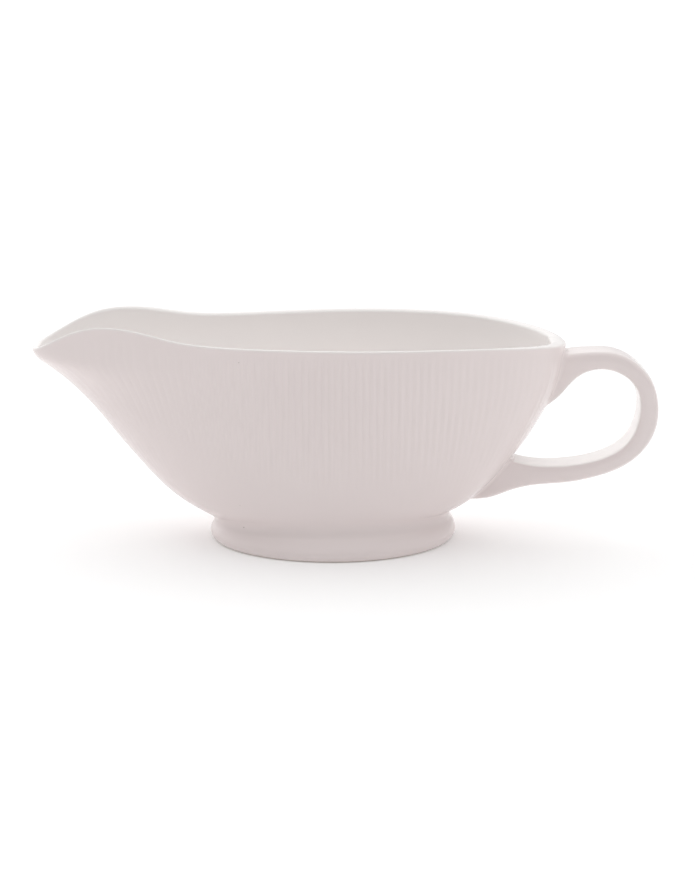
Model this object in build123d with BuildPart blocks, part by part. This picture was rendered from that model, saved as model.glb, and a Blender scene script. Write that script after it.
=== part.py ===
from build123d import *
import os
from math import cos, hypot, pi, sin

# Gravy boat in glazed ceramic: a long bowl that narrows into a raised pouring spout, an oval
# flared foot ring under it, and a strap handle behind.
#
# Frame: the origin is the centre of the foot on the table, +Z is up, the spout points along -X,
# the handle along +X, and the boat is symmetric about the XZ plane.  Millimetres.

# ---- driving dimensions -------------------------------------------------------------------
half_width = 46.1          # widest half breadth of the bowl, outside
wall = 4.0                 # thickness of the bowl's wall, measured square to it
slip = 0.4                 # layer of luting slip between the pieces
bowl_base = 7.0            # height of the bowl's flat underside above the table
floor_thickness = 4.5      # thickness of the bowl's floor
foot_length = 95.6         # widest outside length of the foot ring
foot_breadth = 83.2        # widest outside breadth of the foot ring
foot_ring = 4.2            # width of the flat unglazed ring that the boat stands on
strap_width = 15.5         # breadth of the handle's strap, along Y
strap_outer_edge = 2.1     # rounding of the strap's long edges away from the fingers
strap_inner_edge = 1.1     # rounding of the strap's long edges on the finger side
rim_radius = 1.3           # rounding of the rim's two edges

# ---- the flanks: their breadth grows with height as a very blunt curve ------------------------
flank_start = 3.0          # height where the flank's curve starts, below the underside
flank_rise = 79.0          # height over which it opens to the full width
flank_exponent = 0.16      # how fast: the smaller, the steeper the flanks
middle_low = -1.5          # X of the widest place at the underside
middle_shift = 12.0        # how far the widest place moves towards the handle higher up
middle_rise = 63.0         # height over which it does so

# ---- level sections: how the points stand along a nose --------------------------------------
points_behind = 6          # points on a quarter behind the widest place
points_ahead = 10          # points on a quarter ahead of it
point_spread = 0.5         # the smaller, the closer they stand at the tip of the nose
taper_exponent = 1.6       # how late the nose starts to taper

# ---- lines of the bowl, as a boat builder gives them: one station for each height -----------
# height, reach of the spout side (-X), reach of the handle side (+X), taper, bluntness of the nose
stations = [
    (bowl_base, 42.6, 40.4, 0.00, 2.0),
    (10.5, 49.3, 44.8, 0.10, 2.2),
    (15.0, 57.4, 52.6, 0.20, 2.6),
    (20.0, 64.0, 59.1, 0.30, 3.0),
    (30.0, 73.6, 67.9, 0.43, 4.0),
    (40.0, 82.1, 75.4, 0.53, 5.2),
    (50.0, 90.0, 81.4, 0.60, 6.5),
    (60.0, 99.3, 86.3, 0.68, 8.0),
    (67.0, 108.4, 88.4, 0.74, 14.0),
    (74.0, 114.6, 89.4, 0.78, 50.0),
    (81.0, 115.5, 89.8, 0.78, 50.0),
    (90.0, 116.1, 90.0, 0.78, 50.0),
]


def half_breadth(height):
    """Half breadth of the bowl's widest place: steep flanks that turn in above the foot."""
    rise = (height - flank_start) / flank_rise
    return half_width * (1 - (1 - min(rise, 1.0)) ** 2) ** flank_exponent


def widest_at(height):
    """X of the widest place: over the foot at the bottom, nearer the handle at the rim."""
    return middle_low + middle_shift * min((height - bowl_base) / middle_rise, 1.0)


def bowl_outline(height, front, back, taper, bluntness, inset_front, inset_back, inset_side):
    """Points once around a level section: half an ellipse behind, a tapering nose in front."""
    middle = widest_at(height)
    breadth = half_breadth(height) - inset_side
    reach_back = back - inset_back - middle
    reach_front = front - inset_front + middle
    near = []
    for i in range(1, points_behind + 1):
        turn = pi / 2 * i / points_behind
        near.append((middle + reach_back * cos(turn), breadth * sin(turn)))
    for i in range(1, points_ahead):
        share = sin(pi / 2 * i / points_ahead) ** point_spread
        side = (1 - taper * share ** taper_exponent) * (1 - share ** bluntness) ** 0.5
        near.append((middle - reach_front * share, breadth * side))
    return ([(middle + reach_back, 0)] + near + [(middle - reach_front, 0)]
            + [(x, -y) for x, y in reversed(near)])


def slope(column, index):
    """How far a station value moves for each millimetre of height, between its neighbours."""
    low = stations[max(index - 1, 0)]
    high = stations[min(index + 1, len(stations) - 1)]
    return (high[column] - low[column]) / (high[0] - low[0])


def bowl_sections(thickness):
    """Outlines of the bowl's surface moved in by a thickness, square to the wall."""
    outlines = []
    for index, (height, front, back, taper, bluntness) in enumerate(stations):
        insets = [thickness * hypot(1, slope(1, index)), thickness * hypot(1, slope(2, index))]
        outline = bowl_outline(height, front, back, taper, bluntness, *insets, thickness)
        outlines.append((height, outline))
    return outlines

# side view (X, height) of the rim: down to the lip of the spout, up to its crest, level, down behind
rim_line = [(-118, 71.4), (-109.5, 76.5), (-99.5, 82.3), (-90.5, 85.4), (-82.5, 86.1), (-71.5, 85.0),
            (-57.5, 82.5), (-44.5, 81.4), (-19.5, 81.3), (20.5, 81.5), (45.5, 81.3), (62.5, 80.5),
            (76.5, 79.2), (86.5, 77.5), (92.5, 76.2)]
clear_height = 100.0       # above everything

# ---- foot ring: height and how far its outside stands in from the widest oval, at ends and sides --
foot_stations = [(0.0, 2.4, 1.9), (0.7, 0.9, 0.7), (2.6, 0.0, 0.0), (5.0, 0.5, 0.9),
                 (8.0, 1.8, 3.4), (11.0, 2.8, 5.8), (13.0, 3.2, 6.6)]
foot_round = foot_stations[0][1]
recess_stations = [(-1.0, 0.0), (0.0, 0.0), (3.0, 1.7), (bowl_base + 1, 4.0)]

# ---- handle: side view (X, height) of the strap's outer and inner edges ----------------------
strap_outside = [(78.5, 70.6), (86.5, 72.4), (92, 73.5), (99.5, 74.1), (106, 74.1), (111.5, 72.8),
                 (118, 68.8), (122.6, 62.6), (124.8, 55.5), (125.1, 49), (123.5, 41.9), (118, 33.8),
                 (110.2, 28.3), (101.2, 24.9), (90.2, 22.7), (80, 21.8), (69, 19.2), (61, 16.2),
                 (50.5, 15.2)]
strap_inside = [(73, 46.4), (78.5, 50.0), (82.6, 53.0), (86.2, 56.1), (89.0, 59.6), (92, 63.0),
                (96, 65.8), (102.5, 67.4), (109.5, 66.0), (114.6, 62.2), (117.4, 57), (118, 51),
                (116.9, 44.5), (113.3, 38.1), (107.5, 33.8), (100, 31.1), (92.2, 29.7),
                (84.5, 29.2), (78, 29.5), (70, 31.2), (60.5, 35.0)]
between_roots = 42.0       # a height between the handle's two roots


# ---- tool bodies: the bowl's outside, the same grown by the slip, and its hollow ---------------
with BuildPart() as outside:
    for height, outline in bowl_sections(0):
        with BuildSketch(Plane.XY.offset(height)):
            with BuildLine():
                Spline(*outline, periodic=True)
            make_face()
    loft()

with BuildPart() as grown:
    for height, outline in bowl_sections(-slip):
        with BuildSketch(Plane.XY.offset(height if height > bowl_base else height - slip)):
            with BuildLine():
                Spline(*outline, periodic=True)
            make_face()
    loft()

with BuildPart() as hollow:
    for height, outline in bowl_sections(wall)[1:]:
        with BuildSketch(Plane.XY.offset(max(height, bowl_base + floor_thickness))):
            with BuildLine():
                Spline(*outline, periodic=True)
            make_face()
    loft()

with BuildPart() as slip_skin:
    add(grown.part)
    add(outside.part, mode=Mode.SUBTRACT)

# ---- bowl ---------------------------------------------------------------------------------
with BuildPart() as bowl:
    add(outside.part)
    add(hollow.part, mode=Mode.SUBTRACT)
    with BuildSketch(Plane.XZ):
        with BuildLine():
            rim = Spline(*rim_line)
            Polyline(rim @ 1, (rim_line[-1][0], clear_height), (rim_line[0][0], clear_height), rim @ 0)
        make_face()
    extrude(amount=2 * half_width, both=True, mode=Mode.SUBTRACT)
    rim_faces = bowl.faces().filter_by_position(Axis.Z, rim_line[0][1], clear_height)
    fillet(rim_faces.edges().filter_by(lambda edge: edge.length > half_width), radius=rim_radius)

# ---- foot ring ------------------------------------------------------------------------------
with BuildPart() as foot_block:
    for height, in_end, in_side in foot_stations:
        with BuildSketch(Plane.XY.offset(height)):
            Ellipse(foot_length / 2 - in_end, foot_breadth / 2 - in_side)
    loft()
    for height, inset in recess_stations:
        with BuildSketch(Plane.XY.offset(height)):
            margin = foot_round + foot_ring + inset
            Ellipse(foot_length / 2 - margin, foot_breadth / 2 - margin)
    loft(mode=Mode.SUBTRACT)

with BuildPart() as foot:
    add(foot_block.part)
    add(grown.part, mode=Mode.SUBTRACT)

with BuildPart() as foot_joint:
    add(foot_block.part)
    add(slip_skin.part, mode=Mode.INTERSECT)

# ---- handle ---------------------------------------------------------------------------------
with BuildPart() as strap:
    with BuildSketch(Plane.XZ):
        with BuildLine():
            over = Spline(*strap_outside)
            under = Spline(*strap_inside)
            Line(over @ 0, under @ 0)
            Line(over @ 1, under @ 1)
        make_face()
    extrude(amount=strap_width / 2, both=True)
    for radius, longest in ((strap_outer_edge, slice(-2, None)), (strap_inner_edge, slice(0, 2))):
        long_edges = strap.faces().filter_by(Axis.Y).edges().filter_by(GeomType.BSPLINE)
        fillet(long_edges.sort_by(SortBy.LENGTH)[longest], radius=radius)

with BuildPart() as handle:
    add(strap.part)
    add(grown.part, mode=Mode.SUBTRACT)

with BuildPart() as upper_handle_joint:
    add(strap.part)
    add(slip_skin.part, mode=Mode.INTERSECT)
    split(bisect_by=Plane.XY.offset(between_roots), keep=Keep.TOP)

with BuildPart() as lower_handle_joint:
    add(strap.part)
    add(slip_skin.part, mode=Mode.INTERSECT)
    split(bisect_by=Plane.XY.offset(between_roots), keep=Keep.BOTTOM)

# ---- the pieces, one file each -----------------------------------------------------------------
bowl.part.label = "bowl"
foot.part.label = "foot"
handle.part.label = "handle"
foot_joint.part.label = "foot_joint"
upper_handle_joint.part.label = "upper_handle_joint"
lower_handle_joint.part.label = "lower_handle_joint"

os.makedirs("parts", exist_ok=True)
export_step(bowl.part, "parts/bowl.step")
export_step(foot.part, "parts/foot.step")
export_step(handle.part, "parts/handle.step")
export_step(foot_joint.part, "parts/foot_joint.step")
export_step(upper_handle_joint.part, "parts/upper_handle_joint.step")
export_step(lower_handle_joint.part, "parts/lower_handle_joint.step")
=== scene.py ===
import math

import bmesh
import bpy
import numpy as np
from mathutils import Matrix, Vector


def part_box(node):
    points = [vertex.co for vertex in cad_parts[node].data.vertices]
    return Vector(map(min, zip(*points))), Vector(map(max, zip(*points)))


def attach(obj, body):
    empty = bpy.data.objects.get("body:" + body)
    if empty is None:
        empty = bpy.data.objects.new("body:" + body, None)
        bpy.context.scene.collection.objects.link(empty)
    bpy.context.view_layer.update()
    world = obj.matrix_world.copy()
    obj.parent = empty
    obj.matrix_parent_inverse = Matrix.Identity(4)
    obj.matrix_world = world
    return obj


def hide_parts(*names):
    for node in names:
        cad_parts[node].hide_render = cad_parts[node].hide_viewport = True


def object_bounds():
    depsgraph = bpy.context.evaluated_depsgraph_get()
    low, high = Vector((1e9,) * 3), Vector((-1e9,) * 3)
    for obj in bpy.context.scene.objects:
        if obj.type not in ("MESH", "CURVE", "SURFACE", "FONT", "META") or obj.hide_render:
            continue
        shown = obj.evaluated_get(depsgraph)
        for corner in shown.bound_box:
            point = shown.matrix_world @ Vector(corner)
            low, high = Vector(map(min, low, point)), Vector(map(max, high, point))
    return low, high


# Gravy boat in glazed ceramic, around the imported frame.  The six pieces that show are meshes made
# here along the lines of the CAD solids: the fluted bowl, the foot ring, the strap handle, and the
# soft glaze fillets under the bowl and at the handle's two roots.  Lines are in millimetres;
# meshes are made in metres.

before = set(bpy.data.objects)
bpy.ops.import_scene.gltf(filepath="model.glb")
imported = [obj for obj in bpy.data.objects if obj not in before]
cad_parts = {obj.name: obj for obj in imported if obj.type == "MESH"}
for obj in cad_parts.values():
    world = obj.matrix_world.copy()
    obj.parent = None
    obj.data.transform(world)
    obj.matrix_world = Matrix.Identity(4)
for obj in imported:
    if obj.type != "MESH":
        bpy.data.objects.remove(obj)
cad_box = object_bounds()
MM = 0.001


def node_box(name):
    """Lowest and highest corner of a CAD node, in millimetres."""
    low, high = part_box(name)
    return np.array(low) / MM, np.array(high) / MM


bowl_low, bowl_high = node_box("bowl")
_, foot_high = node_box("foot")
_, handle_high = node_box("handle")

# ---- sizes that everything else follows ------------------------------------------------------
HALF_WIDTH = bowl_high[1]                # half breadth of the bowl at its widest
BASE = bowl_low[2]                       # height of the bowl's underside
FOOT_ENDS = foot_high[0]                 # half length of the foot ring
FOOT_SIDES = foot_high[1]                # half breadth of the foot ring
STRAP_HALF = handle_high[1]              # half breadth of the handle's strap
WALL = 4.0                               # thickness of the bowl's wall
FLOOR = BASE + 4.5                       # height of the bowl's floor inside
THICK_BACK = 2.1                         # how much thicker the wall is behind, at the handle
THIN_RIM = 1.1                           # how much thinner it is at the rim
THIN_LIP = 1.1                           # how much thinner still at the lip of the spout
RIM_DROP = 1.5                           # height of the rounded part of the rim
CREST_OUTWARD = 2.0                      # above 1, the rim's crest stands nearer its outer edge
CREST_FULLNESS = 0.8                     # the smaller, the squarer the rim's rounding

# ---- the flanks: their breadth grows with height as a very blunt curve --------------------------
FLANK_START = 3.0                        # height where the flank's curve starts, below the underside
FLANK_RISE = 79.0                        # height over which it opens to the full width
FLANK_EXPONENT = 0.16                    # how fast: the smaller, the steeper the flanks
TAPER_EXPONENT = 1.6                     # how late the nose starts to taper
MIDDLE_LOW = -1.5                        # X of the widest place at the underside
MIDDLE_SHIFT = 12.0                      # how far the widest place moves towards the handle higher up
MIDDLE_RISE = 63.0                       # height over which it does so

# height, reach of the spout side, reach of the handle side, taper of the nose, bluntness of the nose
STATIONS = np.array([
    (BASE, 42.6, 40.4, 0.00, 2.0),
    (10.5, 48.9, 44.5, 0.10, 2.2),
    (15.0, 57.1, 52.6, 0.20, 2.6),
    (20.0, 64.0, 59.1, 0.30, 3.0),
    (30.0, 73.6, 67.9, 0.43, 4.0),
    (40.0, 82.1, 75.4, 0.53, 5.2),
    (50.0, 90.0, 81.4, 0.60, 6.5),
    (60.0, 99.5, 86.3, 0.68, 8.0),
    (67.0, 107.9, 88.4, 0.74, 14.0),
    (70.0, 112.0, 88.9, 0.76, 22.0),
    (72.0, 113.9, 89.1, 0.77, 35.0),
    (74.0, 114.9, 89.4, 0.78, 50.0),
    (81.0, 115.5, 89.8, 0.78, 50.0),
    (90.0, 116.1, 90.0, 0.78, 50.0),
])
REFERENCE = 74.0                         # height where the flutes are laid out
NEARLY_NOTHING = 1e-6                    # stands for 0 where a formula divides by the distance

# side view (X, height) of the rim
RIM_LINE = [(-118, 74.4), (-113.5, 75.4), (-109.5, 77.2), (-99.5, 82.4), (-90.5, 85.4), (-82.5, 86.1),
            (-71.5, 85.1), (-57.5, 82.5), (-44.5, 81.45), (-19.5, 81.3), (20.5, 81.5), (45.5, 81.2),
            (62.5, 80.4), (76.5, 79.1), (86.5, 77.6), (92.5, 76.2)]


# ---- curves ------------------------------------------------------------------------------------
def smooth_curve(places, values):
    """The natural cubic spline through values at increasing places, as a function."""
    places, values = np.array(places, float), np.array(values, float)
    gaps, count = np.diff(places), len(places)
    matrix, pull = np.eye(count), np.zeros(count)
    for i in range(1, count - 1):
        matrix[i, i - 1:i + 2] = gaps[i - 1], 2 * (gaps[i - 1] + gaps[i]), gaps[i]
        pull[i] = 6 * ((values[i + 1] - values[i]) / gaps[i] - (values[i] - values[i - 1]) / gaps[i - 1])
    bend = np.linalg.solve(matrix, pull)

    def read(at):
        i = np.clip(np.searchsorted(places, at) - 1, 0, count - 2)
        gap = gaps[i]
        after = (at - places[i]) / gap
        before = 1 - after
        return (before * values[i] + after * values[i + 1]
                + ((before ** 3 - before) * bend[i] + (after ** 3 - after) * bend[i + 1]) * gap ** 2 / 6)
    return read


def ease(low, high, at):
    """0 below low, 1 above high, and a smooth step between them."""
    t = np.clip((at - low) / (high - low), 0, 1)
    return t * t * (3 - 2 * t)


def unit(vectors):
    """The vectors, each made one long. One without a length stays as it is."""
    length = np.linalg.norm(vectors, axis=-1, keepdims=True)
    return vectors / np.where(length > 0, length, 1)


HEIGHTS = STATIONS[:, 0]
reach_front = smooth_curve(HEIGHTS, STATIONS[:, 1])
reach_back = smooth_curve(HEIGHTS, STATIONS[:, 2])
nose_taper = smooth_curve(HEIGHTS, STATIONS[:, 3])
nose_bluntness = smooth_curve(HEIGHTS, np.log(STATIONS[:, 4]))
widest_at = smooth_curve(HEIGHTS, MIDDLE_LOW + MIDDLE_SHIFT * np.minimum((HEIGHTS - BASE) / MIDDLE_RISE, 1))
rim_height = smooth_curve(*zip(*RIM_LINE))


def slope(curve, height):
    """How far a curve moves over the millimetre of height around a place."""
    return curve(height + 0.5) - curve(height - 0.5)


# ---- the bowl's walls ---------------------------------------------------------------------------
def breadth_squared(x, z, inset):
    """Square of the bowl's half breadth at x and height z, moved in by inset square to the wall. It
    goes on below zero past the bowl's ends."""
    rise = np.clip((z - FLANK_START) / FLANK_RISE, 0, 1)
    breadth = HALF_WIDTH * (1 - (1 - rise) ** 2) ** FLANK_EXPONENT - inset
    middle = widest_at(z)
    back = reach_back(z) - inset * np.hypot(1, slope(reach_back, z)) - middle
    front = reach_front(z) - inset * np.hypot(1, slope(reach_front, z)) + middle
    behind = np.maximum(x - middle, 0) / back
    ahead = np.maximum(middle - x, 0) / front
    taper = 1 - nose_taper(z) * ahead ** TAPER_EXPONENT
    nose = taper ** 2 * (1 - ahead ** np.exp(nose_bluntness(z)))
    return breadth ** 2 * np.where(x >= middle, 1 - behind ** 2, nose)


def half_breadth(x, z, inset):
    """Half breadth of the bowl at x and height z, and 0 past its ends."""
    return np.sqrt(np.maximum(breadth_squared(x, z, inset), 0))


def depth_in_bowl(points):
    """About how far each point lies inside the bowl's outer wall, and the way out of it."""
    def inside(p):
        return breadth_squared(p[..., 0], p[..., 2], 0) - p[..., 1] ** 2

    step = 0.05
    rise = np.stack([(inside(points + step * axis) - inside(points - step * axis)) / (2 * step)
                     for axis in np.eye(3)], axis=-1)
    steepness = np.linalg.norm(rise, axis=-1)
    return inside(points) / steepness, -rise / steepness[..., None]


def follow(x_reference, z, inset):
    """X at height z on the flute that stands at x_reference at the reference height: straight down
    amidships, and drawn in towards the ends, where the bowl gets shorter."""
    result = np.empty(np.broadcast(x_reference, z).shape)
    x_reference, z, inset = np.broadcast_arrays(x_reference, z, inset)
    for curve, sign in ((reach_back, 1), (reach_front, -1)):
        here = curve(z) - inset * np.hypot(1, slope(curve, z))
        there = curve(REFERENCE) - inset * np.hypot(1, slope(curve, REFERENCE))
        distance = np.clip(sign * x_reference, NEARLY_NOTHING, there)
        drawn = (distance ** -2.0 + here ** -2.0 - there ** -2.0) ** -0.5
        side = sign * x_reference >= 0
        result[side] = (sign * drawn)[side]
    return result


# ---- laying out the flutes ------------------------------------------------------------------------
FLUTES_AHEAD, FLUTES_BEHIND = 39, 34     # on each flank, ahead of and behind amidships
COLUMNS_PER_FLUTE = 8
FLUTE_SPREAD = 110.0                     # distance from amidships where flutes are twice as wide
FLUTE_DEPTH = 0.18                       # half the height of a flute, hollow to crest
FLUTE_FADE = 0.75                        # share of that lost towards the spout and the handle
FADE_ENDS = (0, 75)                      # how far from amidships the loss begins and is complete
FADE_RIM = (2.4, 5.5)                    # how far below the rim the flutes begin and are full
FADE_FOOT = (20, 58)                     # heights where they begin above the foot and are full
FADE_ROOT = 8.0                          # distance beside the handle over which they come back
CREST_BREADTH = 0.18                     # the larger, the broader the crests beside the hollows
OUTLINE_STEPS = 4000                     # steps along which the outline's length is measured


def flank_columns(curve, sign, flutes):
    """X at the reference height of each column from amidships to one end, the end included."""
    turn = np.linspace(0, math.pi / 2, OUTLINE_STEPS + 1)
    x = sign * curve(REFERENCE) * np.sin(turn)
    y = half_breadth(x, REFERENCE, 0)
    length = np.concatenate([[0], np.cumsum(np.hypot(np.diff(x), np.diff(y)))])
    phase = np.arctan(length / FLUTE_SPREAD)
    wanted = np.linspace(0, phase[-1], flutes * COLUMNS_PER_FLUTE + 1)
    return np.interp(wanted, phase, x)


def ring_of_columns():
    """X and side (+1 or -1) of every column once around, and each column's place among the flutes."""
    ahead = flank_columns(reach_front, -1, FLUTES_AHEAD)
    behind = flank_columns(reach_back, 1, FLUTES_BEHIND)
    flank = np.concatenate([behind[::-1], ahead[1:]])
    x = np.concatenate([flank, flank[-2:0:-1]])
    side = np.concatenate([np.ones(len(flank)), -np.ones(len(flank) - 2)])
    return x, side, np.arange(len(x)) / COLUMNS_PER_FLUTE


# ---- making meshes ------------------------------------------------------------------------------
class Skin:
    """Collects rings of points and the faces between them, and turns them into one mesh. Each point
    knows its share of painted light, a whiter glaze colour that stands in for light: 0 on the outside, 1 on
    the inside."""

    def __init__(self):
        self.points, self.faces, self.slots, self.smooth, self.painted_light = [], [], [], [], []

    def ring(self, points, painted_light=0.0):
        """Adds a closed ring of points, and gives their numbers."""
        first = len(self.points)
        self.points.extend(np.asarray(points, float) * MM)
        self.painted_light.extend(np.broadcast_to(painted_light, len(points)))
        return list(range(first, len(self.points)))

    def face(self, corners, slot=0, hidden=False):
        """Adds one face. A hidden one is buried in clay, so it leaves its neighbours' shading alone."""
        self.faces.append(tuple(corners))
        self.slots.append(slot)
        self.smooth.append(not hidden)

    def join(self, one, other, slot=0, hidden=False):
        """Quads between two rings of the same count."""
        for a, b, c, d in zip(one, one[1:] + one[:1], other[1:] + other[:1], other):
            self.face((a, b, c, d), slot, hidden)

    def thin_out(self, fine, coarse):
        """Faces between a fine ring and a coarse one that has one point to every few of its own."""
        step = len(fine) // len(coarse)
        for i in range(len(coarse)):
            run = [fine[(i * step + k) % len(fine)] for k in range(step + 1)]
            self.face((*run, coarse[(i + 1) % len(coarse)], coarse[i]))

    def close(self, ring, centre, painted_light=0.0, hidden=False):
        """A fan that closes a ring at one point."""
        tip = self.ring([centre], painted_light)[0]
        for a, b in zip(ring, ring[1:] + ring[:1]):
            self.face((a, b, tip), hidden=hidden)

    def object(self, name, materials, replaced):
        """Makes the finished piece, which rides on the boat in place of a CAD node. Every face is
        turned outward, and the shading breaks where visible faces meet hidden ones."""
        mesh = bpy.data.meshes.new(name)
        mesh.from_pydata([tuple(point) for point in self.points], [], self.faces)
        for material in materials:
            mesh.materials.append(material)
        mesh.polygons.foreach_set("material_index", self.slots)
        mesh.polygons.foreach_set("use_smooth", self.smooth)
        # each point's share of painted light, a whiter glaze colour that stands in for light
        mesh.attributes.new("painted_light_share", "FLOAT", "POINT").data.foreach_set("value", self.painted_light)
        turned = bmesh.new()
        turned.from_mesh(mesh)
        bmesh.ops.recalc_face_normals(turned, faces=turned.faces)
        for edge in turned.edges:
            edge.smooth = len({face.smooth for face in edge.link_faces}) == 1
        turned.to_mesh(mesh)
        turned.free()
        mesh.update()
        piece = bpy.data.objects.new(name, mesh)
        bpy.context.scene.collection.objects.link(piece)
        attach(piece, "root")
        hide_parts(replaced)


def facing(rows):
    """Unit normals of a grid of points, given as rows of closed rings."""
    around = np.roll(rows, -1, axis=1) - np.roll(rows, 1, axis=1)
    up = np.gradient(rows, axis=0)
    return unit(np.cross(around, up))


# ---- bowl ---------------------------------------------------------------------------------------
OUTER_ROWS, RIM_ROWS, INNER_ROWS, COVE_ROWS = 52, 11, 34, 10
ROWS_LOWER = 1.25                        # above 1, the outer rows stand closer near the foot
KEEP_EVERY = 4                           # the smooth inside keeps every fourth column
THIN_FROM = 0.6                          # share of the height above which the wall gets thinner
BACK_FROM, BACK_TO = 50.0, 88.0          # X where the wall begins to thicken behind, and is thickest
LIP_FROM, LIP_TO = 60.0, 110.0           # the same towards the lip, where it gets thinner
COVE = 4.0                               # height of the hollow corner between wall and floor
COVE_SHARE = 0.42                        # how much of the way to the middle the corner takes
FLOOR_RINGS = (0.75, 0.5, 0.25)          # rings of the flat floor, as shares of its breadth
UNDER_DOME = 0.7                         # how far the underside domes up
UNDER_RINGS = (0.93, 0.8, 0.6, 0.4, 0.2)  # rings of the underside, as shares of its breadth
SETTLING_ROUNDS = 12                     # rounds in which a level on the rim settles


def wall_grid(x_reference, side, inset, low, high, rows, thinning=0.0):
    """Points of a wall from height low to height high, row by row, along the columns. rows are the
    shares of the height, and thinning is how much less the wall is inset at the top."""
    grid = []
    for share in rows:
        z = low + (high - low) * share
        inset_here = inset - thinning * ease(THIN_FROM, 1, share)
        x = follow(x_reference, z, inset_here)
        y = side * half_breadth(x, z, inset_here)
        grid.append(np.stack([x, y, z], axis=1))
    return np.array(grid)


def rim_level(x_reference, inset, drop):
    """Height, column by column, that stands a given drop below the rim line."""
    z = rim_height(x_reference) - drop
    for _ in range(SETTLING_ROUNDS):
        z = rim_height(follow(x_reference, z, inset)) - drop
    return z


def flute_relief(grid, flute, x_reference):
    """How far the flutes lift each point of the outside: most amidships a little below the rim,
    fading to the foot and towards both ends, and not at all beside the handle's roots."""
    z = grid[:, :, 2]
    below_rim = rim_height(grid[:, :, 0]) - z
    strength = ease(*FADE_RIM, below_rim) * ease(*FADE_FOOT, z)
    from_handle = np.where(x_reference > 0, np.abs(grid[:, :, 1]), math.inf)
    strength = strength * ease(STRAP_HALF, STRAP_HALF + FADE_ROOT, from_handle)
    strength = strength * (1 - FLUTE_FADE * ease(*FADE_ENDS, np.abs(x_reference)))
    rib = np.cos(2 * math.pi * flute)
    return FLUTE_DEPTH * strength * (rib - CREST_BREADTH * np.cos(4 * math.pi * flute))


def add_underside(skin, fine, edge):
    """Closes the bowl below its lowest ring: slightly domed, on fewer columns."""
    middle = np.array([widest_at(BASE), 0, BASE])
    previous = fine
    for share in UNDER_RINGS:
        points = middle + (edge[::KEEP_EVERY] - middle) * share
        points[:, 2] += UNDER_DOME * (1 - share ** 2)
        inward = skin.ring(points)
        if previous is fine:
            skin.thin_out(fine, inward)
        else:
            skin.join(previous, inward)
        previous = inward
    skin.close(previous, middle + (0, 0, UNDER_DOME))


def add_rim(skin, lower, outer_edge, inner_edge):
    """The rounded crest of the rim between the two walls, highest near the outer one. Gives its last
    ring."""
    previous = lower
    for turn in np.linspace(0, math.pi, RIM_ROWS + 2)[1:-1]:
        across = ((1 - math.cos(turn)) / 2) ** CREST_OUTWARD
        points = outer_edge + (inner_edge - outer_edge) * across
        points[:, 2] += (rim_height(points[:, 0]) - points[:, 2]) * math.sin(turn) ** CREST_FULLNESS
        # painted light: the share of the whiter glaze colour rises from the outer edge to the crest, a
        # painted highlight along it, and stays full down the inner side
        current = skin.ring(points, ease(0, math.pi / 2, turn))
        skin.join(previous, current)
        previous = current
    return previous


def add_inside(skin, rim, inside):
    """The smooth inside, on fewer columns, down the wall to a coved floor."""
    middle = (widest_at(BASE), 0)
    # painted light: the whole inside gets the whiter glaze colour in full, which stands in for light there
    previous = skin.ring(inside[0], 1.0)
    skin.join(rim, previous)
    current = skin.ring(inside[1][::KEEP_EVERY], 1.0)
    skin.thin_out(previous, current)
    previous = current
    for row in inside[2:]:
        current = skin.ring(row[::KEEP_EVERY], 1.0)
        skin.join(previous, current)
        previous = current

    # the corner leaves the wall along its lean, and comes in level to the floor
    last, above = inside[-1][::KEEP_EVERY], inside[-2][::KEEP_EVERY]
    lean = np.linalg.norm((above - last)[:, :2], axis=1) / (above - last)[:, 2]
    reach = np.linalg.norm(last[:, :2] - middle, axis=1)
    for t in np.linspace(0, 1, COVE_ROWS + 1)[1:]:
        inward = lean * COVE * t + (COVE_SHARE * reach - lean * COVE) * t ** 2
        points = last.copy()
        points[:, :2] += (middle - last[:, :2]) * (np.minimum(inward, reach) / reach)[:, None]
        points[:, 2] = FLOOR + COVE * (1 - t) ** 2
        current = skin.ring(points, 1.0)
        skin.join(previous, current)
        previous = current
    edge = points
    for share in FLOOR_RINGS:
        points = edge.copy()
        points[:, :2] = middle + (edge[:, :2] - middle) * share
        current = skin.ring(points, 1.0)
        skin.join(previous, current)
        previous = current
    skin.close(previous, (*middle, FLOOR), 1.0)


def make_bowl(materials):
    """The bowl: fluted outside, rounded rim, smooth inside with a coved floor, and underside."""
    skin = Skin()
    x_reference, side, flute = ring_of_columns()
    top = rim_level(x_reference, 0, RIM_DROP)
    outside = wall_grid(x_reference, side, 0, BASE, top, np.linspace(0, 1, OUTER_ROWS) ** ROWS_LOWER)
    outside += facing(outside) * flute_relief(outside, flute, x_reference)[:, :, None]

    # the inside stands square off the outside at the reference height
    inset = (WALL + THICK_BACK * ease(BACK_FROM, BACK_TO, x_reference)
             - THIN_LIP * ease(LIP_FROM, LIP_TO, -x_reference))
    just_above = np.full(len(side), REFERENCE + 1)
    outline = wall_grid(x_reference, side, 0, REFERENCE - 1, just_above, (0, 0.5, 1))
    square = facing(outline)[1]
    inner_x = x_reference - inset * square[:, 0] / np.hypot(square[:, 0], square[:, 1])
    for curve, end in ((reach_front, -1), (reach_back, 1)):
        tip = curve(REFERENCE) - inset * np.hypot(1, slope(curve, REFERENCE))
        inner_x = np.where(end * inner_x > 0, end * np.minimum(end * inner_x, tip), inner_x)
    inner_top = rim_level(inner_x, inset - THIN_RIM, RIM_DROP)
    levels = np.linspace(1, 0, INNER_ROWS)
    inside = wall_grid(inner_x, side, inset, FLOOR + COVE, inner_top, levels, THIN_RIM)

    lowest = skin.ring(outside[0])
    add_underside(skin, lowest, outside[0])
    previous = lowest
    for row in outside[1:]:
        current = skin.ring(row)
        skin.join(previous, current)
        previous = current
    rim = add_rim(skin, previous, outside[-1], inside[0])
    add_inside(skin, rim, inside)
    skin.object("fluted_bowl", materials, "bowl")


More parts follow.
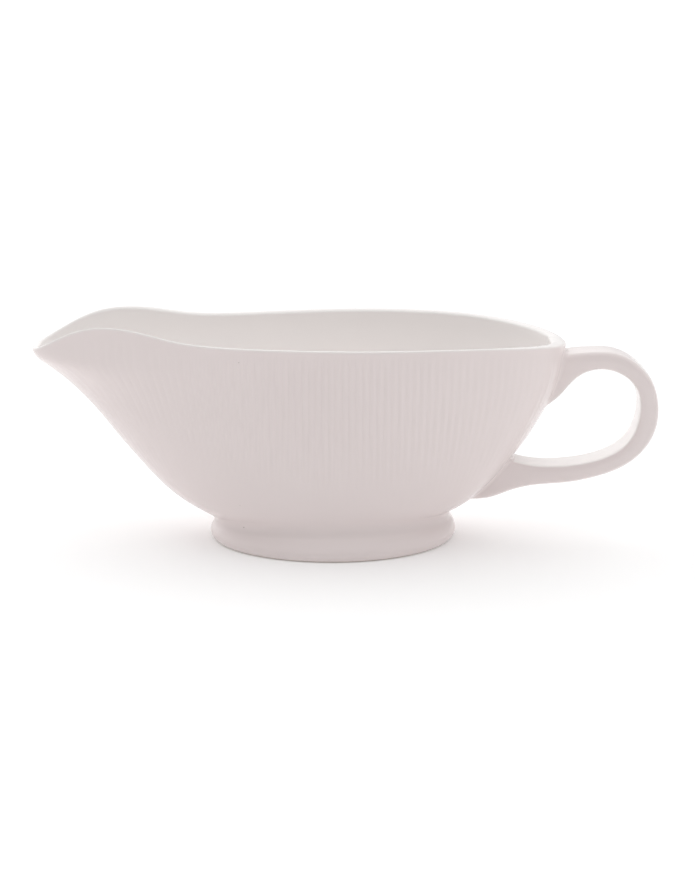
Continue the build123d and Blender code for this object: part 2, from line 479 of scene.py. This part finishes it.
# ---- soft glaze fillets ---------------------------------------------------------------------------
BEAD_ROWS = 11
BEAD_PULL = 0.4                          # how long its curve keeps each edge's direction, as a share
EDGE_SINK = 0.03                         # how far the thin edges of a fillet lie under the surface
SINKING_ROUNDS = 3                       # rounds in which a point is brought to the bowl's wall


def make_bead(name, materials, replaced, piece_side, bowl_side, into):
    """A ring of glaze that softens a crease between a piece and the bowl. piece_side and bowl_side
    are the two edges of its concave face, each with the way that the surface runs on from there
    towards the crease. into are points in the clay behind it."""
    skin = Skin()
    (start, leaving), (end, arriving) = piece_side, bowl_side
    pull = BEAD_PULL * np.linalg.norm(end - start, axis=1)[:, None]
    second, third = start + unit(leaving) * pull, end + unit(arriving) * pull
    rings = [skin.ring(start * (1 - t) ** 3 + second * 3 * t * (1 - t) ** 2
                       + third * 3 * t ** 2 * (1 - t) + end * t ** 3)
             for t in np.linspace(0, 1, BEAD_ROWS)]
    for one, other in zip(rings, rings[1:]):
        skin.join(one, other)
    buried = skin.ring(into)
    skin.join(rings[-1], buried, hidden=True)
    skin.join(buried, rings[0], hidden=True)
    skin.object(name, materials, replaced)


def on_bowl(points):
    """The points moved to just under the bowl's outer wall."""
    for _ in range(SINKING_ROUNDS):
        depth, out = depth_in_bowl(points)
        points = points + out * (depth - EDGE_SINK)[..., None]
    return points


# ---- foot ring ------------------------------------------------------------------------------------
FOOT_COLUMNS = 256
# height, and how far the outside stands in from the widest oval, at the ends and at the sides
FOOT_OUTSIDE = [(0.0, 2.4, 1.9), (0.25, 1.85, 1.4), (0.7, 1.1, 0.7), (1.5, 0.5, 0.2), (2.6, 0.15, 0.0),
                (5.0, 0.6, 0.9), (6.7, 1.5, 2.3), (8.0, 2.6, 3.5), (9.5, 4.1, 4.7), (11.0, 5.5, 5.8),
                (13.0, 7.0, 6.6)]
# height, and how far the inside stands in from the bare ring's inner edge
FOOT_INSIDE = [(0.0, 0.0), (0.6, 0.5), (3.0, 1.7), (5.6, 2.9), (6.8, 4.0), (7.3, 5.4), (7.6, 7.0)]
RING_WIDTH = 4.2                         # width of the flat ring that the boat stands on
RING_EDGE = 0.4                          # width of the narrow faces that keep its edges crisp
GLAZE_EDGE = 0.45                        # height where the glaze stops above the bare ring
GLAZE_STEP = 0.12                        # thickness of the glaze there
BARE_LOW, BARE_HIGH = 0.12, 0.3          # heights of the bare clay's rings of points
BARE_BEVEL = 0.25                        # how far the bare clay slopes in, inside the ring
FOOT_FILLET = 3.4                        # length of the soft corner under the bowl, along the foot
BOWL_FILLET = 4.6                        # the same along the bowl
FOOT_LEAN = 0.1                          # how far it leans towards the handle for each mm of height
# heights of the rings of points: down the inside, up the outside, and then even ones to the seam
INSIDE_HEIGHTS = (7.6, 7.45, 7.3, 7.1, 6.8, 6.3, 5.6, 4.6, 3.0, 1.8, 1.0, 0.6, GLAZE_EDGE)
OUTSIDE_HEIGHTS = (0.34, GLAZE_EDGE, 0.7, 1.0, 1.5, 2.0, 2.6, 3.3)
SEAM_ROWS = 12
HALVINGS = 30                            # rounds of halving that find where the foot meets the bowl
LOOK_ALONG_FOOT, LOOK_ALONG_BOWL = 0.2, 0.5  # lengths over which their directions are read
BURIED_RISE = 0.6                        # how far the fillet's buried edge lies above the crease

foot_in_end = smooth_curve(*zip(*[(z, in_end) for z, in_end, _ in FOOT_OUTSIDE]))
foot_in_side = smooth_curve(*zip(*[(z, in_side) for z, _, in_side in FOOT_OUTSIDE]))
foot_in_recess = smooth_curve(*zip(*FOOT_INSIDE))


def oval(angle, in_end, in_side, z):
    """A point round an oval that stands in from the widest outline of the foot."""
    x = (FOOT_ENDS - in_end) * np.cos(angle)
    y = (FOOT_SIDES - in_side) * np.sin(angle)
    return np.stack([x, y, z + 0 * angle], axis=-1)


def foot_outside(angle, z):
    """Point on the outside of the foot ring, which leans a little towards the handle."""
    points = oval(angle, foot_in_end(z), foot_in_side(z), z)
    points[..., 0] += FOOT_LEAN * z
    return points


def foot_meets_bowl(angle):
    """Height where the outside of the foot runs into the bowl, at each angle."""
    low, high = np.full(len(angle), BASE), np.full(len(angle), FOOT_OUTSIDE[-1][0])
    for _ in range(HALVINGS):
        middle = (low + high) / 2
        within = depth_in_bowl(foot_outside(angle, middle))[0] > 0
        high = np.where(within, middle, high)
        low = np.where(within, low, middle)
    return high


def make_foot(glaze, clay):
    """The foot ring: flared outside, bare flat ring below, and hollow inside. A second piece is the
    fillet between it and the bowl."""
    skin = Skin()
    angle = np.linspace(0, 2 * math.pi, FOOT_COLUMNS, endpoint=False)
    crease = foot_meets_bowl(angle)
    middle = foot_outside(angle, crease)
    rise = middle - foot_outside(angle, crease - 1)
    seam = crease - FOOT_FILLET / np.linalg.norm(rise, axis=1)
    _, round_end, round_side = FOOT_OUTSIDE[0]
    inner_edge = round_end + RING_WIDTH

    # each ring says whether it is bare clay, and a face is bare where either of its rings is
    rings = []
    for z in INSIDE_HEIGHTS:
        inset = inner_edge + foot_in_recess(z)
        rings.append((oval(angle, inset, inset, z), False))
    bevel = inner_edge + BARE_BEVEL
    for inset, z in ((bevel, BARE_HIGH), (inner_edge, 0.0), (inner_edge - RING_EDGE, 0.0)):
        rings.append((oval(angle, inset, inset, z), True))
    for step in (RING_EDGE, 0.0):
        rings.append((oval(angle, round_end + step, round_side + step, 0.0), True))
    for z in (BARE_LOW, BARE_HIGH):
        rings.append((oval(angle, foot_in_end(z) + GLAZE_STEP, foot_in_side(z) + GLAZE_STEP, z), True))
    for z in OUTSIDE_HEIGHTS:
        rings.append((foot_outside(angle, z + 0 * angle), False))
    highest = OUTSIDE_HEIGHTS[-1]
    for share in np.linspace(0, 1, SEAM_ROWS + 1)[1:]:
        rings.append((foot_outside(angle, highest + (seam - highest) * share), False))
    numbers = [skin.ring(points) for points, _ in rings]
    for i in range(len(rings) - 1):
        skin.join(numbers[i], numbers[i + 1], 1 if rings[i][1] or rings[i + 1][1] else 0)
    skin.join(numbers[-1], numbers[0], hidden=True)
    skin.object("foot_ring", [glaze, clay], "foot")

    # the fillet starts at the seam and ends on the bowl's wall, straight out from the crease
    lower = foot_outside(angle, seam)
    leaving = foot_outside(angle, seam + LOOK_ALONG_FOOT) - lower
    _, out = depth_in_bowl(middle)
    along = np.stack([np.cos(angle) * FOOT_SIDES, np.sin(angle) * FOOT_ENDS, 0 * angle], axis=1)
    along = unit(along - out * np.sum(along * out, axis=1)[:, None])
    upper = on_bowl(middle + along * BOWL_FILLET)
    towards_crease = on_bowl(middle + along * (BOWL_FILLET - LOOK_ALONG_BOWL)) - upper
    inward = np.stack([-np.cos(angle), -np.sin(angle), BURIED_RISE + 0 * angle], axis=1)
    piece_side, bowl_side = (lower, leaving), (upper, towards_crease)
    make_bead("foot_fillet", [glaze], "foot_joint", piece_side, bowl_side, middle + inward)


# ---- handle ----------------------------------------------------------------------------------------
# side view (X, height) of the strap's outer and inner edges, from the root under the rim round to
# the root above the foot
STRAP_OUTSIDE = [(68.5, 69.1), (78.5, 70.5), (86.5, 72.3), (92, 73.3), (99.5, 73.9), (106, 73.8),
                 (111.3, 72.5), (117.7, 68.5), (122.6, 62.5), (125.0, 55.5), (125.5, 49), (124, 41.6),
                 (118.6, 33.3), (110.6, 27.7), (101.4, 24.4), (90.3, 22.2), (80, 21.4), (69, 19.1),
                 (61, 16.3), (50.5, 15.7)]
STRAP_INSIDE = [(73, 46.4), (78.5, 50.0), (82.6, 52.9), (86.5, 55.8), (89.5, 59.1), (92.4, 62.4),
                (96.2, 65.2), (102.5, 66.8), (109.3, 65.5), (114.5, 61.9), (117.4, 57), (118, 51),
                (116.9, 44.5), (113.3, 38.1), (107.5, 33.8), (100, 31.1), (92.2, 29.7),
                (84.5, 29.2), (78, 29.5), (70, 31.2), (60.5, 35.0)]
STRAP_ROWS = 170
OUTER_STEPS, INNER_STEPS = 600, 6000     # points along the two edges, from which the rows are made
OUTER_EDGE, INNER_EDGE = 2.1, 1.1        # radii of the strap's long edges
EDGE_TURNS = (15, 30, 45, 60, 75, 90)    # degrees, where the points of a rounded edge stand
FACE_POINTS, SIDE_POINTS = 5, 9          # points on half a face, and on a side with its corners
PAINTED_LIGHT_OVER, PAINTED_LIGHT_UNDER = 0.4, 1.0     # share of painted light, a whiter glaze colour, on the outer and the inner face
PAINTED_LIGHT_FADE = 0.5                        # depth of a rounded edge over which the painted light fades
CROWN = 0.25                             # how much the middle of each face of the strap stands out
ROOT_SINK = 1.2                          # how far the handle's ends go into the bowl's wall
ROOT_FILLET = 2.0                        # length of the soft corner round each root
ROOT_BURIED = 0.7                        # how far a root fillet's buried edge lies in the clay


def smooth_line(points, count):
    """Evenly spaced points on the smooth line through the given ones."""
    points = np.array(points, float)
    length = np.concatenate([[0], np.cumsum(np.hypot(*np.diff(points, axis=0).T))])
    at = np.linspace(0, length[-1], count)
    return np.stack([smooth_curve(length, values)(at) for values in points.T], axis=1)


def ribs_across(outer, inner):
    """For each outer point, the inner point straight across the strap: the line between them stands
    square to the mean run of the two edges."""
    run_outer = unit(np.gradient(outer, axis=0))
    run_inner = unit(np.gradient(inner, axis=0))
    found, window = [0], len(inner) // 8     # an eighth of the edge is far enough to look ahead
    for point, run in zip(outer, run_outer):
        start = found[-1]
        ahead = slice(start, min(start + window, len(inner)))
        skew = np.sum((point - inner[ahead]) * (run + run_inner[ahead]), axis=1)
        past = np.nonzero(skew <= 0)[0]
        found.append(start + (past[0] if len(past) else 0))
    return inner[found[1:]]


def half_section(radius):
    """Place across (Y) and depth of one face of the strap and its rounded edge, from the middle out."""
    flat = STRAP_HALF - CROWN - radius
    points = [(y, CROWN * (y / STRAP_HALF) ** 2) for y in np.linspace(0, flat, FACE_POINTS)]
    edge = points[-1][1]
    for turn in np.radians(EDGE_TURNS):
        points.append((flat + radius * math.sin(turn), edge + radius * (1 - math.cos(turn))))
    return points


def strap_section():
    """Once round the strap's section. Each point has its place across (Y), its share of the way from
    the outer edge line to the inner one, and how far it then stands towards the inner one."""
    outer, inner = half_section(OUTER_EDGE), half_section(INNER_EDGE)
    right = [(y, 0.0, depth) for y, depth in outer]
    for share in np.linspace(0, 1, SIDE_POINTS)[1:-1]:
        bulge = CROWN * (1 - (2 * share - 1) ** 2)
        depth = outer[-1][1] * (1 - share) - inner[-1][1] * share
        right.append((outer[-1][0] + bulge, share, depth))
    right += [(y, 1.0, -depth) for y, depth in reversed(inner)]
    left = [(-y, share, depth) for y, share, depth in reversed(right[1:-1])]
    return np.array(right + left).T


def strap_grid():
    """Points of the whole strap, row by row from the upper root to the lower, and its normals."""
    outer = smooth_line(STRAP_OUTSIDE, OUTER_STEPS)
    inner = ribs_across(outer, smooth_line(STRAP_INSIDE, INNER_STEPS))
    across, share, depth = strap_section()
    towards = unit(inner - outer)
    side_view = (outer[:, None, :] + (inner - outer)[:, None, :] * share[None, :, None]
                 + towards[:, None, :] * depth[None, :, None])
    y = np.broadcast_to(across, side_view.shape[:2])
    grid = np.stack([side_view[..., 0], y, side_view[..., 1]], axis=-1)
    normal = facing(grid)
    away = np.sum(normal * (grid - grid.mean(axis=1, keepdims=True)), axis=2)
    return grid, normal * np.sign(away)[..., None]


def at_rows(grid, rows):
    """The point of every line of a grid at its own, fractional row."""
    low = np.clip(rows.astype(int), 0, len(grid) - 2)
    share = (rows - low)[:, None]
    line = np.arange(grid.shape[1])
    return grid[low, line] * (1 - share) + grid[low + 1, line] * share


def row_at_depth(depth, level):
    """For every line, the fractional row where it first comes up to a depth in the bowl."""
    rows = []
    for line in depth.T:
        i = np.nonzero(line < level)[0][0]
        rows.append(i - 1 + (line[i - 1] - level) / (line[i - 1] - line[i]))
    return np.array(rows)


def make_handle(glaze):
    """The strap handle, with its ends let into the bowl's wall, and a fillet round each root."""
    grid, normal = strap_grid()
    depth, _ = depth_in_bowl(grid)
    last = len(grid) - 1
    start = row_at_depth(depth, ROOT_SINK)
    end = last - row_at_depth(depth[::-1], ROOT_SINK)

    skin = Skin()
    _, place, depth_in_strap = strap_section()
    # painted light: the inner face, which faces up along the lower strap, gets the whiter glaze colour in
    # full and the outer face in part, fading over the rounded edges
    painted_light = np.where(place == 0, PAINTED_LIGHT_OVER, np.where(place == 1, PAINTED_LIGHT_UNDER, 0.0))
    painted_light *= 1 - ease(CROWN, CROWN + PAINTED_LIGHT_FADE, np.abs(depth_in_strap))
    rings = [skin.ring(at_rows(grid, start + (end - start) * share), painted_light)
             for share in np.linspace(0, 1, STRAP_ROWS)]
    for one, other in zip(rings, rings[1:]):
        skin.join(one, other)
    for ring in (rings[0], rings[-1]):
        middle = np.mean([skin.points[i] for i in ring], axis=0) / MM
        skin.close(ring, middle, hidden=True)
    skin.object("strap_handle", [glaze], "handle")

    roots = (("upper_root_fillet", "upper_handle_joint", row_at_depth(depth, 0), 1),
             ("lower_root_fillet", "lower_handle_joint", last - row_at_depth(depth[::-1], 0), -1))
    for name, joint, rows, away in roots:
        crease, out_of_strap = at_rows(grid, rows), at_rows(normal, rows)
        _, out = depth_in_bowl(crease)
        pace = np.linalg.norm(at_rows(grid, rows + away) - crease, axis=1)
        near_piece = at_rows(grid, rows + away * ROOT_FILLET / pace) - out_of_strap * EDGE_SINK
        along = unit(out_of_strap - out * np.sum(out_of_strap * out, axis=1)[:, None])
        near_bowl = on_bowl(crease + along * ROOT_FILLET)
        into = crease - (out_of_strap + out) * ROOT_BURIED
        make_bead(name, [glaze], joint, (near_piece, crease - near_piece), (near_bowl, -along), into)


# ---- materials --------------------------------------------------------------------------------------
GLAZE_TINT = (0.865, 0.778, 0.767, 1)    # the outside's two tints, between which it is cloudy
GLAZE_TINT_DARKER = (0.845, 0.758, 0.747, 1)
PAINTED_LIGHT_WHITE = (0.950, 0.915, 0.900, 1)   # whiter glaze colour that stands in for light: painted light on the inside, the rim's crest and the handle's inner face
SPECK_BROWN = (0.36, 0.31, 0.27, 1)
SPECKED_CELLS = 0.20                     # share of the pattern's cells that hold a speck
WAVE_HEIGHT = 0.00006                    # m, of the glaze's slightly wavy skin
CLAY_DARK, CLAY_LIGHT = (0.66, 0.58, 0.50, 1), (0.80, 0.74, 0.67, 1)
GRAIN_HEIGHT = 0.00012                   # m, of the bare clay's grain


def new_material(name):
    """A new node material, its node tree, and its Principled shader."""
    material = bpy.data.materials.new(name)
    material.use_nodes = True
    tree = material.node_tree
    return material, tree, tree.nodes["Principled BSDF"]


def feed(tree, socket, value):
    """Links another node's output to an input, or sets the input to a number or a colour."""
    if isinstance(value, bpy.types.NodeSocket):
        tree.links.new(value, socket)
    else:
        socket.default_value = value


def feed_by_name(tree, node, **inputs):
    """Feeds inputs of a node by name, with an underscore for each space."""
    for name, value in inputs.items():
        feed(tree, node.inputs[name.replace("_", " ")], value)


def add_node(tree, kind, **inputs):
    """A new node with its inputs fed."""
    node = tree.nodes.new(kind)
    feed_by_name(tree, node, **inputs)
    return node


def add_maths(tree, operation, *values):
    """The output of a Math node. A value is a number or another node's output."""
    node = tree.nodes.new("ShaderNodeMath")
    node.operation = operation
    for socket, value in zip(node.inputs, values):
        feed(tree, socket, value)
    return node.outputs[0]


def mix_colours(tree, factor, one, other):
    """The output of a node that mixes two colours, by a factor that may be linked."""
    node = tree.nodes.new("ShaderNodeMix")
    node.data_type = "RGBA"
    feed(tree, node.inputs["Factor"], factor)
    # a Mix node has its inputs once for each kind of value, so the colours go by number
    feed(tree, node.inputs[6], one)
    feed(tree, node.inputs[7], other)
    return node.outputs[2]


def place_on_piece(tree):
    """Each point's place in the piece's own frame, in metres, for patterns to go by."""
    return tree.nodes.new("ShaderNodeTexCoord").outputs["Object"]


def make_glaze():
    """White glaze with a faint rosy tint, painted whiter by each point's share of painted light on the
    inside, along the rim's crest and on the handle's inner face.
    It has an uneven thickness, a slightly wavy skin, and rare pin specks on the outside."""
    material, tree, shader = new_material("white_glaze")
    place = place_on_piece(tree)

    clouds = add_node(tree, "ShaderNodeTexNoise", Vector=place, Scale=28.0, Detail=3.0, Roughness=0.55)
    cloudy_tint = mix_colours(tree, clouds.outputs["Fac"], GLAZE_TINT, GLAZE_TINT_DARKER)
    # painted light: a whiter glaze colour mixed in by each point's share, which stands in for light on the
    # inside, the rim's crest and the handle's inner face
    painted_light = tree.nodes.new("ShaderNodeAttribute")
    painted_light.attribute_name = "painted_light_share"
    tint = mix_colours(tree, painted_light.outputs["Fac"], cloudy_tint, PAINTED_LIGHT_WHITE)

    # a speck is the middle of a rare cell of a pattern, away from the painted light
    cells = add_node(tree, "ShaderNodeTexVoronoi", Vector=place, Scale=150.0, Randomness=1.0)
    near = add_node(tree, "ShaderNodeMapRange", Value=cells.outputs["Distance"],
                    From_Min=0.022, From_Max=0.040, To_Min=1.0, To_Max=0.0)
    chosen = add_node(tree, "ShaderNodeSeparateColor", Color=cells.outputs["Color"])
    rare = add_maths(tree, "GREATER_THAN", chosen.outputs["Red"], 1 - SPECKED_CELLS)
    away_from_painted_light = add_maths(tree, "SUBTRACT", 1.0, painted_light.outputs["Fac"])
    allowed = add_maths(tree, "MULTIPLY", rare, away_from_painted_light)
    speck = add_maths(tree, "MULTIPLY", near.outputs["Result"], allowed)
    colour = mix_colours(tree, speck, tint, SPECK_BROWN)

    patches = add_node(tree, "ShaderNodeTexNoise", Vector=place, Scale=60.0, Detail=4.0, Roughness=0.6)
    gloss = add_node(tree, "ShaderNodeMapRange", Value=patches.outputs["Fac"],
                     From_Min=0.3, From_Max=0.7, To_Min=0.17, To_Max=0.25)

    waves = add_node(tree, "ShaderNodeTexNoise", Vector=place, Scale=230.0, Detail=2.0, Roughness=0.5)
    bump = add_node(tree, "ShaderNodeBump", Height=waves.outputs["Fac"], Strength=0.35, Distance=WAVE_HEIGHT)

    feed_by_name(tree, shader, Base_Color=colour, Roughness=gloss.outputs["Result"],
                 Normal=bump.outputs["Normal"], IOR=1.5, Specular_IOR_Level=0.35)
    return material


def make_bare_clay():
    """Unglazed fired clay on the standing ring: matte, cream, fine-grained."""
    material, tree, shader = new_material("bare_clay")
    place = place_on_piece(tree)
    grain = add_node(tree, "ShaderNodeTexNoise", Vector=place, Scale=900.0, Detail=5.0, Roughness=0.7)
    colour = mix_colours(tree, grain.outputs["Fac"], CLAY_DARK, CLAY_LIGHT)
    bump = add_node(tree, "ShaderNodeBump", Height=grain.outputs["Fac"], Strength=0.6, Distance=GRAIN_HEIGHT)
    feed_by_name(tree, shader, Base_Color=colour, Roughness=0.85, Normal=bump.outputs["Normal"])
    return material


# ---- studio -----------------------------------------------------------------------------------------
FLOOR_RADIUS = 7.0                       # m
FLOOR_CORNERS = 96
FLOOR_GLOW = 0.12                        # faint light of its own, which keeps it white
PALE, PALER = (0.90, 0.90, 0.90, 1), (0.93, 0.93, 0.93, 1)
WHITE = (1, 1, 1, 1)


def make_floor():
    """A large round pale floor."""
    material, tree, shader = new_material("pale_floor")
    mottle = add_node(tree, "ShaderNodeTexNoise", Vector=place_on_piece(tree), Scale=3.0, Detail=2.0)
    colour = mix_colours(tree, mottle.outputs["Fac"], PALE, PALER)
    feed_by_name(tree, shader, Base_Color=colour, Roughness=0.9, Specular_IOR_Level=0.1,
                 Emission_Color=WHITE, Emission_Strength=FLOOR_GLOW)

    mesh = bpy.data.meshes.new("floor")
    angle = np.linspace(0, 2 * math.pi, FLOOR_CORNERS, endpoint=False)
    edge = [(FLOOR_RADIUS * math.cos(a), FLOOR_RADIUS * math.sin(a), 0.0) for a in angle]
    mesh.from_pydata(edge, [], [tuple(range(len(edge)))])
    mesh.materials.append(material)
    floor = bpy.data.objects.new("floor", mesh)
    bpy.context.scene.collection.objects.link(floor)


def add_soft_lights(lights):
    """Large soft lights all round, as a world that is brighter towards each of them. Each has the
    direction towards it, how narrow it is, and its strength."""
    world = bpy.data.worlds.new("studio")
    world.use_nodes = True
    tree = world.node_tree
    direction = tree.nodes.new("ShaderNodeTexCoord").outputs["Generated"]
    total = 0.0
    for towards, narrowness, strength in lights:
        facing_it = tree.nodes.new("ShaderNodeVectorMath")
        facing_it.operation = "DOT_PRODUCT"
        tree.links.new(direction, facing_it.inputs[0])
        facing_it.inputs[1].default_value = Vector(towards).normalized()
        ahead = add_maths(tree, "MAXIMUM", facing_it.outputs["Value"], 0.0)
        soft = add_maths(tree, "POWER", ahead, narrowness)
        total = add_maths(tree, "MULTIPLY_ADD", soft, strength, total)
    background = tree.nodes["Background"]
    feed_by_name(tree, background, Color=WHITE, Strength=total)
    bpy.context.scene.world = world


LENS, SENSOR_WIDTH = 96.249, 36.0        # mm
LOOKING_DOWN = 13.1436                   # degrees
CAMERA_DISTANCE = 0.9                    # m
AIM_FROM_MIDDLE = (0.30, 0.0, -3.11)     # mm, from the middle of the CAD box


def add_camera():
    """The camera, which looks along +Y and down at the boat, with the handle on its right."""
    data = bpy.data.cameras.new("camera")
    data.sensor_width = SENSOR_WIDTH
    data.lens = LENS
    camera = bpy.data.objects.new("camera", data)
    aim = (cad_box[0] + cad_box[1]) / 2 + Vector(AIM_FROM_MIDDLE) * MM
    pitch = math.radians(LOOKING_DOWN)
    camera.location = aim + Vector((0, -math.cos(pitch), math.sin(pitch))) * CAMERA_DISTANCE
    camera.rotation_euler = (math.pi / 2 - pitch, 0, 0)
    bpy.context.scene.collection.objects.link(camera)
    bpy.context.scene.camera = camera


# ---- putting it together ------------------------------------------------------------------------------
white_glaze = make_glaze()
make_bowl([white_glaze])
make_foot(white_glaze, make_bare_clay())
make_handle(white_glaze)

make_floor()
add_soft_lights([
    ((0, -0.6, 0.8), 4, 0.61),           # in front, high
    ((0, -0.35, 0.94), 8, 0.52),         # in front, almost overhead
    ((0, 0.6, 0.8), 4, 1.05),            # behind, high
    ((-0.7, 0, 0.71), 4, 0.52),          # left, high
    ((0.7, 0, 0.71), 4, 0.74),           # right, high
    ((-0.7, 0.7, 0.14), 4, 1.60),        # left and behind, low
    ((0.7, 0.7, 0.14), 4, 0.60),         # right and behind, low
    ((1, 0, 0), 2, 0.22),                # right, level
])
add_camera()
bpy.context.scene.view_settings.view_transform = "Standard"
